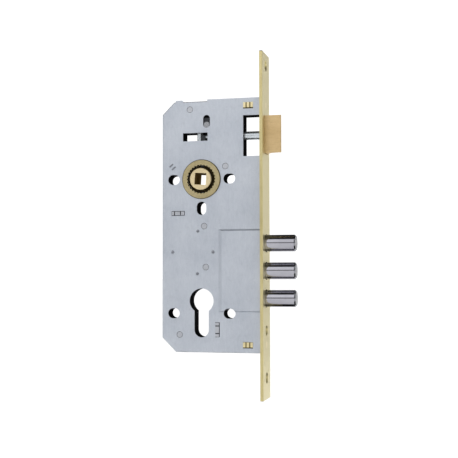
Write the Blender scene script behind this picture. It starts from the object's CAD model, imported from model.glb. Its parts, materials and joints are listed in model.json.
import json
import math

import bpy
from mathutils import Matrix, Vector


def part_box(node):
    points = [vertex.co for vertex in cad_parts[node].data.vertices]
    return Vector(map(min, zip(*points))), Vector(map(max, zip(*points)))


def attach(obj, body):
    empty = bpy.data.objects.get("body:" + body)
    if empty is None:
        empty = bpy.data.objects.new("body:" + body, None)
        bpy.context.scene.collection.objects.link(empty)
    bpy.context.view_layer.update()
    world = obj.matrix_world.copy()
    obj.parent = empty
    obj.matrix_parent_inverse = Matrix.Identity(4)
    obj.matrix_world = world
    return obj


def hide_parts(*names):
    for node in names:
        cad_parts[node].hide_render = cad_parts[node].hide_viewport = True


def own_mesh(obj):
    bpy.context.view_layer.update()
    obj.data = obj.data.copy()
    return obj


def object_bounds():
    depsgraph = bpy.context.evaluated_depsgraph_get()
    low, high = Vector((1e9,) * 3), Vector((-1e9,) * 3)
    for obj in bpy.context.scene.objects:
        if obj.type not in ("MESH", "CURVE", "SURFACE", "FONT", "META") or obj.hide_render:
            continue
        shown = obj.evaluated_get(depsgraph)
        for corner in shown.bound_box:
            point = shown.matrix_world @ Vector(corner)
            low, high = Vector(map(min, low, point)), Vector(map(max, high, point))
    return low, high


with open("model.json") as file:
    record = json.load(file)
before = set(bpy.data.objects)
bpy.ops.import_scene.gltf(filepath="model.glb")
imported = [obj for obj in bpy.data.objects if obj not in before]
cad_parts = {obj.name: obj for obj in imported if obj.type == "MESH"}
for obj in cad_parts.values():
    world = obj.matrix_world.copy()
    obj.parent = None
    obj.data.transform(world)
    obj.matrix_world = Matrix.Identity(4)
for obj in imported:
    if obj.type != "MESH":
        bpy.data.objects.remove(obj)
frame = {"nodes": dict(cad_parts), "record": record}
cad_low, cad_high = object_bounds()
MM = 0.001


# ---- materials -----------------------------------------------------------------------------


class Surface:
    """A metal surface built from nodes, worked out in millimetres of object space."""

    def __init__(self, name):
        self.material = bpy.data.materials.new(name)
        self.material.use_nodes = True
        self.tree = self.material.node_tree
        self.tree.nodes.clear()
        self.output = self.tree.nodes.new("ShaderNodeOutputMaterial")
        self.shader = self.tree.nodes.new("ShaderNodeBsdfPrincipled")
        self.tree.links.new(self.shader.outputs["BSDF"], self.output.inputs["Surface"])
        place = self.tree.nodes.new("ShaderNodeTexCoord")
        scale = self.tree.nodes.new("ShaderNodeVectorMath")
        scale.operation = "SCALE"
        scale.inputs["Scale"].default_value = 1000.0
        self.tree.links.new(place.outputs["Object"], scale.inputs[0])
        self.place = scale.outputs[0]

    def feed(self, socket, value):
        """Links an output to a socket, or sets a constant straight on it."""
        if isinstance(value, bpy.types.NodeSocket):
            self.tree.links.new(value, socket)
        else:
            socket.default_value = value

    def set(self, name, value):
        """Feeds one of the shader's own inputs."""
        self.feed(self.shader.inputs[name], value)

    def stretched(self, sx, sy, sz):
        """The place in millimetres, scaled by its own factor along each axis."""
        node = self.tree.nodes.new("ShaderNodeVectorMath")
        node.operation = "MULTIPLY"
        self.tree.links.new(self.place, node.inputs[0])
        node.inputs[1].default_value = (sx, sy, sz)
        return node.outputs[0]

    def parts(self):
        """The place's x, y and z in millimetres."""
        node = self.tree.nodes.new("ShaderNodeSeparateXYZ")
        self.tree.links.new(self.place, node.inputs[0])
        return node.outputs["X"], node.outputs["Y"], node.outputs["Z"]

    def noise(self, scale, detail=2.0, rough=0.5, vector=None, distortion=0.0):
        """Soft noise from 0 to 1."""
        node = self.tree.nodes.new("ShaderNodeTexNoise")
        self.tree.links.new(vector or self.place, node.inputs["Vector"])
        node.inputs["Scale"].default_value = scale
        node.inputs["Detail"].default_value = detail
        node.inputs["Roughness"].default_value = rough
        node.inputs["Distortion"].default_value = distortion
        return node.outputs["Fac"]

    def span(self, value, low, high, to_low=0.0, to_high=1.0):
        """Maps low..high to to_low..to_high, held at the ends."""
        node = self.tree.nodes.new("ShaderNodeMapRange")
        self.tree.links.new(value, node.inputs["Value"])
        node.inputs["From Min"].default_value = low
        node.inputs["From Max"].default_value = high
        node.inputs["To Min"].default_value = to_low
        node.inputs["To Max"].default_value = to_high
        return node.outputs["Result"]

    def math(self, operation, a, b):
        """The result of one sum on two values or outputs."""
        node = self.tree.nodes.new("ShaderNodeMath")
        node.operation = operation
        self.feed(node.inputs[0], a)
        self.feed(node.inputs[1], b)
        return node.outputs[0]

    def product(self, *values):
        """All the values multiplied together."""
        result = values[0]
        for value in values[1:]:
            result = self.math("MULTIPLY", result, value)
        return result

    def mix(self, factor, a, b):
        """Colour a, going over to b as factor rises to 1."""
        node = self.tree.nodes.new("ShaderNodeMix")
        node.data_type = "RGBA"
        self.feed(node.inputs["Factor"], factor)
        self.feed(node.inputs["A"], a)
        self.feed(node.inputs["B"], b)
        return node.outputs["Result"]

    def bump(self, height, distance, strength=1.0):
        """Fine relief, distance millimetres deep."""
        node = self.tree.nodes.new("ShaderNodeBump")
        self.tree.links.new(height, node.inputs["Height"])
        node.inputs["Distance"].default_value = distance * MM
        node.inputs["Strength"].default_value = strength
        self.tree.links.new(node.outputs["Normal"], self.shader.inputs["Normal"])


def rgb(red, green, blue):
    """A display colour from 0 to 255 as the linear colour that a shader takes."""
    values = []
    for value in (red, green, blue):
        value /= 255.0
        values.append(value / 12.92 if value <= 0.04045 else ((value + 0.055) / 1.055) ** 2.4)
    return (*values, 1.0)


def plated_metal(
    name,
    light,
    dark,
    metallic,
    rough,
    grain=(1.0, 1.0, 1.0),
    grain_size=1.0,
    tarnish=0.35,
    relief=0.01,
    layers=(),
):
    """Metal with clouded tone, fine grain drawn out along one way, small stains and faint relief.

    layers holds a mask, a colour and whether it is matt, for each thing laid over the metal, such
    as the dirt in its recesses.
    """
    surface = Surface(name)
    clouds = surface.noise(0.045, 3.0, 0.55)
    drawn = surface.noise(grain_size, 4.0, 0.65, surface.stretched(*grain))
    fine = surface.noise(2.6 * grain_size, 2.0, 0.6)
    stains = surface.span(surface.noise(0.28, 4.0, 0.7, distortion=0.6), 0.52, 0.78)
    tone = surface.math("ADD", surface.math("MULTIPLY", clouds, 0.45), surface.math("MULTIPLY", drawn, 0.35))
    tone = surface.math("ADD", tone, surface.math("MULTIPLY", fine, 0.2))
    colour = surface.mix(surface.span(tone, 0.36, 0.64), dark, light)
    stained = tuple(channel * 0.72 for channel in dark[:3]) + (1.0,)
    colour = surface.mix(surface.math("MULTIPLY", stains, tarnish), colour, stained)
    bare = 1.0
    for mask, tint, matt in layers:
        cover = mask(surface)
        colour = surface.mix(cover, colour, tint)
        if matt:
            bare = surface.math("MULTIPLY", surface.math("SUBTRACT", 1.0, cover), bare)
    surface.set("Base Color", colour)
    surface.set("Metallic", surface.math("MULTIPLY", bare, metallic))
    surface.set("Specular IOR Level", surface.math("MULTIPLY", bare, 0.5))
    uneven = surface.math("ADD", surface.math("MULTIPLY", drawn, 0.6), surface.math("MULTIPLY", stains, 0.4))
    surface.set("Roughness", surface.span(uneven, 0.2, 0.8, rough - 0.05, rough + 0.09))
    surface.bump(surface.math("ADD", drawn, surface.math("MULTIPLY", fine, 0.4)), relief)
    return surface.material


def within_walls(surface):
    """The case's side plates, without the outer faces of the walls folded round them."""
    x, y, z = surface.parts()
    low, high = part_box("case_box")
    left, bottom, top = low[0] / MM, low[2] / MM, high[2] / MM - 1.1
    slant = math.sqrt(0.5)
    upper_slant = slant * (top - 8.6 - left)
    lower_slant = slant * (-left - bottom - 10.0)
    up_left = surface.math("MULTIPLY", surface.math("SUBTRACT", z, x), slant)
    down_left = surface.math("MULTIPLY", surface.math("ADD", z, x), -slant)
    margins = [
        surface.math("SUBTRACT", x, left),
        surface.math("SUBTRACT", top, z),
        surface.math("SUBTRACT", z, bottom),
        surface.math("SUBTRACT", upper_slant, up_left),
        surface.math("SUBTRACT", lower_slant, down_left),
    ]
    nearest = margins[0]
    for margin in margins[1:]:
        nearest = surface.math("MINIMUM", nearest, margin)
    return surface.span(nearest, 0.15, 0.35)


def case_inside(surface):
    """The case's hidden faces and the cut edges of its openings."""
    x, y, z = surface.parts()
    return surface.product(within_walls(surface), surface.span(y, -5.25, -5.05), surface.span(y, 5.76, 5.66))


def case_pits(surface):
    """Dirt in the locating pits and in the slanted bars."""
    x, y, z = surface.parts()
    return surface.product(within_walls(surface), surface.span(y, -5.74, -5.45))


def radius_of(surface):
    """The distance from the follower's axis."""
    x, y, z = surface.parts()
    square = surface.math("ADD", surface.math("MULTIPLY", x, x), surface.math("MULTIPLY", z, z))
    return surface.math("SQRT", square, 0.0)


def depth_of(surface):
    """The distance from the lock's middle plane."""
    x, y, z = surface.parts()
    return surface.math("ABSOLUTE", y, 0.0)


def hub_hole(surface):
    """The walls of the square hole."""
    near_axis = surface.span(radius_of(surface), 6.6, 6.2)
    return surface.product(near_axis, surface.span(depth_of(surface), 8.65, 8.1))


def hub_flank(surface):
    """The hub's flank and shoulder, below the ring's face."""
    off_axis = surface.span(radius_of(surface), 6.2, 6.6)
    return surface.product(off_axis, surface.span(depth_of(surface), 7.4, 6.8))


def ring_recess(surface):
    """The notches around the ring's bore."""
    radius = radius_of(surface)
    notches = surface.product(surface.span(radius, 9.84, 9.9), surface.span(radius, 10.45, 10.38))
    return surface.product(notches, surface.span(depth_of(surface), 6.98, 6.9))


def ring_lands(surface):
    """The lands between the notches, worn bright."""
    inner = surface.span(radius_of(surface), 9.84, 9.8)
    return surface.product(inner, surface.span(depth_of(surface), 6.98, 6.9))


def ring_rim(surface):
    """The line of dirt along the ring's outer bevel."""
    outer = surface.span(radius_of(surface), 13.35, 13.55)
    return surface.product(outer, surface.span(depth_of(surface), 5.7, 5.8))


def forend_cuts(surface):
    """The walls of the latch's and the bolts' openings in the forend."""
    x, y, z = surface.parts()
    through = surface.product(surface.span(x, 42.83, 42.93), surface.span(x, 44.85, 44.7))
    within = surface.span(surface.math("ABSOLUTE", y, 0.0), 11.6, 11.4)
    return surface.product(through, within, surface.span(z, 46.0, 45.5), surface.span(z, -92.0, -91.5))


def forend_front(surface):
    """The forend's front face."""
    x, y, z = surface.parts()
    return surface.span(x, 44.8, 44.95)


def lift_pin(surface):
    """The guide pin of the lift slide, duller than the latch's own steel."""
    x, y, z = surface.parts()
    return surface.span(z, 35.9, 36.1)


def lift_head(surface):
    """The clean upper end of the lift slide, behind the guide slot."""
    x, y, z = surface.parts()
    upper_end = surface.span(z, 35.0, 36.0)
    return surface.product(upper_end, surface.span(x, -2.5, -1.5), surface.span(y, 2.9, 3.0))


def bolt_tips(surface):
    """The bolts' end faces and the bevels around them."""
    x, y, z = surface.parts()
    return surface.span(x, 65.0, 65.2)


def mark_gaps(surface):
    """The chisel marks across the lugs."""
    x, y, z = surface.parts()
    return surface.product(surface.span(depth_of(surface), 5.75, 5.6), surface.span(x, 42.6, 42.4))


materials = {
    "case_zinc": plated_metal(
        "case_zinc",
        rgb(195, 200, 208),
        rgb(177, 183, 193),
        0.75,
        0.46,
        (1.0, 1.0, 0.25),
        0.9,
        0.2,
        layers=[(case_pits, rgb(134, 137, 144), False), (case_inside, rgb(34, 34, 36), True)],
    ),
    "forend_brass": plated_metal(
        "forend_brass",
        rgb(213, 201, 150),
        rgb(192, 178, 127),
        0.85,
        0.36,
        (1.0, 1.0, 0.06),
        1.4,
        0.25,
        layers=[(forend_front, rgb(217, 205, 154), False), (forend_cuts, rgb(70, 58, 34), True)],
    ),
    "bracket_brass": plated_metal(
        "bracket_brass",
        rgb(238, 226, 184),
        rgb(216, 200, 150),
        0.7,
        0.4,
        (1.0, 1.0, 1.0),
        1.2,
        0.15,
        layers=[(mark_gaps, rgb(96, 84, 50), False)],
    ),
    "bearing_brass": plated_metal(
        "bearing_brass",
        rgb(190, 176, 138),
        rgb(162, 150, 110),
        0.85,
        0.38,
        (1.0, 1.0, 1.0),
        0.9,
        0.4,
        layers=[
            (ring_rim, rgb(84, 74, 48), False),
            (ring_recess, rgb(26, 22, 12), True),
            (ring_lands, rgb(250, 248, 236), False),
        ],
    ),
    "hub_brass": plated_metal(
        "hub_brass",
        rgb(222, 206, 168),
        rgb(200, 182, 140),
        0.7,
        0.48,
        (1.0, 1.0, 1.0),
        0.8,
        0.35,
        layers=[(hub_hole, rgb(104, 84, 48), True), (hub_flank, rgb(50, 42, 24), True)],
    ),
    "latch_brass": plated_metal(
        "latch_brass", rgb(216, 190, 144), rgb(196, 168, 122), 0.8, 0.42, (0.15, 1.0, 1.0), 1.2, 0.3
    ),
    "bolt_chrome": plated_metal(
        "bolt_chrome",
        rgb(176, 175, 182),
        rgb(146, 146, 154),
        1.0,
        0.08,
        (0.06, 1.0, 1.0),
        1.8,
        0.12,
        0.004,
        layers=[(bolt_tips, rgb(142, 143, 149), False)],
    ),
    "pillar_steel": plated_metal(
        "pillar_steel",
        rgb(190, 192, 198),
        rgb(168, 171, 178),
        0.75,
        0.44,
        (1.0, 1.0, 1.0),
        1.2,
        0.2,
        layers=[(mark_gaps, rgb(80, 80, 84), False)],
    ),
    "latch_steel": plated_metal(
        "latch_steel",
        rgb(204, 210, 214),
        rgb(182, 188, 193),
        0.85,
        0.28,
        (0.4, 1.0, 1.0),
        1.0,
        0.2,
        layers=[(lift_pin, rgb(150, 152, 156), False)],
    ),
    "inner_steel": plated_metal(
        "inner_steel",
        rgb(70, 72, 76),
        rgb(46, 48, 51),
        0.85,
        0.46,
        (1.0, 1.0, 0.4),
        1.0,
        0.35,
        layers=[(lift_head, rgb(214, 217, 220), False)],
    ),
    "spring_steel": plated_metal(
        "spring_steel", rgb(150, 152, 156), rgb(116, 119, 124), 1.0, 0.34, (1.0, 1.0, 1.0), 1.6, 0.3
    ),
}

slot_of = {part["node"]: part["material_slot"] for part in frame["record"]["subparts"]}
for name, node in frame["nodes"].items():
    node.data.materials.clear()
    node.data.materials.append(materials[slot_of[name]])


# ---- springs -------------------------------------------------------------------------------


def coil_mesh(name, node, axis, mean_radius, wire_radius, turns, closed_turns=1.25):
    """A wound spring with closed ends in the room of a CAD node, along axis 0, 1 or 2."""
    low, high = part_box(node)
    across = [i for i in range(3) if i != axis]
    centre = (low + high) / 2
    start = low[axis] + wire_radius
    end = high[axis] - wire_radius
    steps = 40
    total = turns + 2 * closed_turns
    count = int(total * steps)
    ring = 10
    vertices = []
    faces = []
    for i in range(count + 1):
        turn = i / steps
        if turn < closed_turns:
            along = turn * 2.1 * wire_radius
        elif turn > total - closed_turns:
            along = end - start - (total - turn) * 2.1 * wire_radius
        else:
            first = closed_turns * 2.1 * wire_radius
            last = end - start - first
            along = first + (turn - closed_turns) / turns * (last - first)
        angle = 2 * math.pi * turn
        out = Vector((0, 0, 0))
        out[across[0]] = math.cos(angle)
        out[across[1]] = math.sin(angle)
        along_axis = Vector((0, 0, 0))
        along_axis[axis] = 1.0
        middle = Vector(centre)
        middle[axis] = start + along
        middle += out * mean_radius
        for j in range(ring):
            a = 2 * math.pi * j / ring
            vertices.append(middle + out * math.cos(a) * wire_radius + along_axis * math.sin(a) * wire_radius)
    for i in range(count):
        for j in range(ring):
            k = (j + 1) % ring
            faces.append((i * ring + j, i * ring + k, (i + 1) * ring + k, (i + 1) * ring + j))
    faces.append(tuple(range(ring)))
    faces.append(tuple(count * ring + j for j in reversed(range(ring))))
    mesh = bpy.data.meshes.new(name)
    mesh.from_pydata(vertices, [], faces)
    mesh.polygons.foreach_set("use_smooth", [True] * len(mesh.polygons))
    mesh.update()
    coil = bpy.data.objects.new(name, mesh)
    bpy.context.collection.objects.link(coil)
    mesh.materials.append(materials["spring_steel"])
    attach(coil, "lock_case")
    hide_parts(node)
    return coil


spring_plan = [
    ("latch_coil", "latch_spring", 0, 2.8, 0.4, 5, "latch_slide", (1, 0, 0), (9.0, 0, 30.2), 0.32),
    ("follower_coil", "follower_spring", 2, 2.7, 0.45, 4, "plunger_slide", (0, 0, 1), (-14, 0, -22.2), 0.59),
    ("tumbler_coil", "tumbler_spring", 2, 1.9, 0.35, 4, "tumbler_lift", (0, 0, 1), (-18.6, 0, -25.2), 0.63),
    ("lift_coil", "lift_spring", 2, 2.1, 0.4, 6, "latch_lift", (0, 0, 1), (-14.5, 0, 54.0), 0.65),
]
for name, node, axis, mean, wire, turns, joint, way, anchor, keep in spring_plan:
    coil = coil_mesh(name, node, axis, mean * MM, wire * MM, turns)
    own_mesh(coil)


# ---- room, light and camera ----------------------------------------------------------------


def plain(name, colour, rough):
    """A matt studio surface with the faintest unevenness."""
    surface = Surface(name)
    cloud = surface.noise(0.004, 2.0)
    darker = tuple(channel * 0.985 for channel in colour[:3]) + (1.0,)
    surface.set("Base Color", surface.mix(cloud, colour, darker))
    surface.set("Roughness", rough)
    return surface.material


floor_mesh = bpy.data.meshes.new("studio_floor")
reach = 30.0
level = cad_low.z - 0.065
floor_mesh.from_pydata(
    [(-reach, -reach, level), (reach, -reach, level), (reach, reach, level), (-reach, reach, level)],
    [],
    [(0, 1, 2, 3)],
)
floor = bpy.data.objects.new("studio_floor", floor_mesh)
bpy.context.collection.objects.link(floor)
floor_mesh.materials.append(plain("studio_floor", (0.95, 0.95, 0.95, 1.0), 0.9))


def soft_box(name, place, target, width, height, power):
    """A rectangular area light at place that faces target."""
    light = bpy.data.lights.new(name, "AREA")
    light.shape = "RECTANGLE"
    light.size = width
    light.size_y = height
    light.energy = power
    lamp = bpy.data.objects.new(name, light)
    bpy.context.collection.objects.link(lamp)
    lamp.location = place
    away = Vector(place) - Vector(target)
    lamp.rotation_mode = "QUATERNION"
    lamp.rotation_quaternion = away.to_track_quat("Z", "Y")


soft_box("key_light", (-0.35, -0.90, 0.56), (0, 0, 0.0), 1.4, 0.8, 3.4)
soft_box("fill_light", (1.1, -0.9, 0.25), (0, 0, -0.03), 0.7, 0.9, 1.3)


def card(name, corners, tone):
    """A card that shows in polished metal only, and casts no shadow."""
    mesh = bpy.data.meshes.new(name)
    mesh.from_pydata(corners, [], [(0, 1, 2, 3)])
    sheet = bpy.data.objects.new(name, mesh)
    bpy.context.collection.objects.link(sheet)
    mesh.materials.append(plain(name, (tone, tone, tone, 1.0), 0.9))
    sheet.visible_camera = False
    sheet.visible_diffuse = False
    sheet.visible_shadow = False


def level_card(name, near, far, half_width, height, tone):
    """A card that lies level at a height, from near to far in Y."""
    corners = [(x, y, height) for x, y in ((-1, near), (1, near), (1, far), (-1, far))]
    card(name, [(x * half_width, y, z) for x, y, z in corners], tone)


level_card("card_above", -0.24, 0.7, 0.6, 0.30, 0.012)
level_card("card_below", -0.02, 0.14, 0.6, level + 0.004, 0.012)
card("card_side", [(0.10, 0.5, -0.18), (0.40, 0.5, -0.18), (0.40, 0.5, 0.25), (0.10, 0.5, 0.25)], 0.8)

sun = bpy.data.lights.new("top_light", "SUN")
sun.energy = 1.5
sun.angle = math.radians(40)
sun_lamp = bpy.data.objects.new("top_light", sun)
bpy.context.collection.objects.link(sun_lamp)
sun_lamp.visible_glossy = False

world = bpy.data.worlds.new("studio")
bpy.context.scene.world = world
world.use_nodes = True
tree = world.node_tree
background = tree.nodes["Background"]
way = tree.nodes.new("ShaderNodeTexCoord")
split = tree.nodes.new("ShaderNodeSeparateXYZ")
tree.links.new(way.outputs["Generated"], split.inputs[0])
behind = tree.nodes.new("ShaderNodeMapRange")
tree.links.new(split.outputs["Y"], behind.inputs["Value"])
behind.inputs["From Min"].default_value = -0.2
behind.inputs["From Max"].default_value = 0.7
behind.inputs["To Min"].default_value = 0.40
behind.inputs["To Max"].default_value = 1.12
tree.links.new(behind.outputs["Result"], background.inputs["Strength"])
background.inputs["Color"].default_value = (1.0, 1.0, 1.0, 1.0)

camera_data = bpy.data.cameras.new("camera")
camera_data.lens = 75.86
camera_data.sensor_width = 36.0
camera_data.dof.use_dof = False
camera = bpy.data.objects.new("camera", camera_data)
bpy.context.collection.objects.link(camera)
turn = Matrix.Rotation(math.radians(13.63), 4, "Z")
tilt = Matrix.Rotation(math.radians(90 + 2.69), 4, "X")
roll = Matrix.Rotation(math.radians(-0.13), 4, "Z")
camera.matrix_world = Matrix.Translation((0.17737, -0.65575, -0.06659)) @ turn @ tilt @ roll
bpy.context.scene.camera = camera
bpy.context.scene.view_settings.view_transform = "Standard"
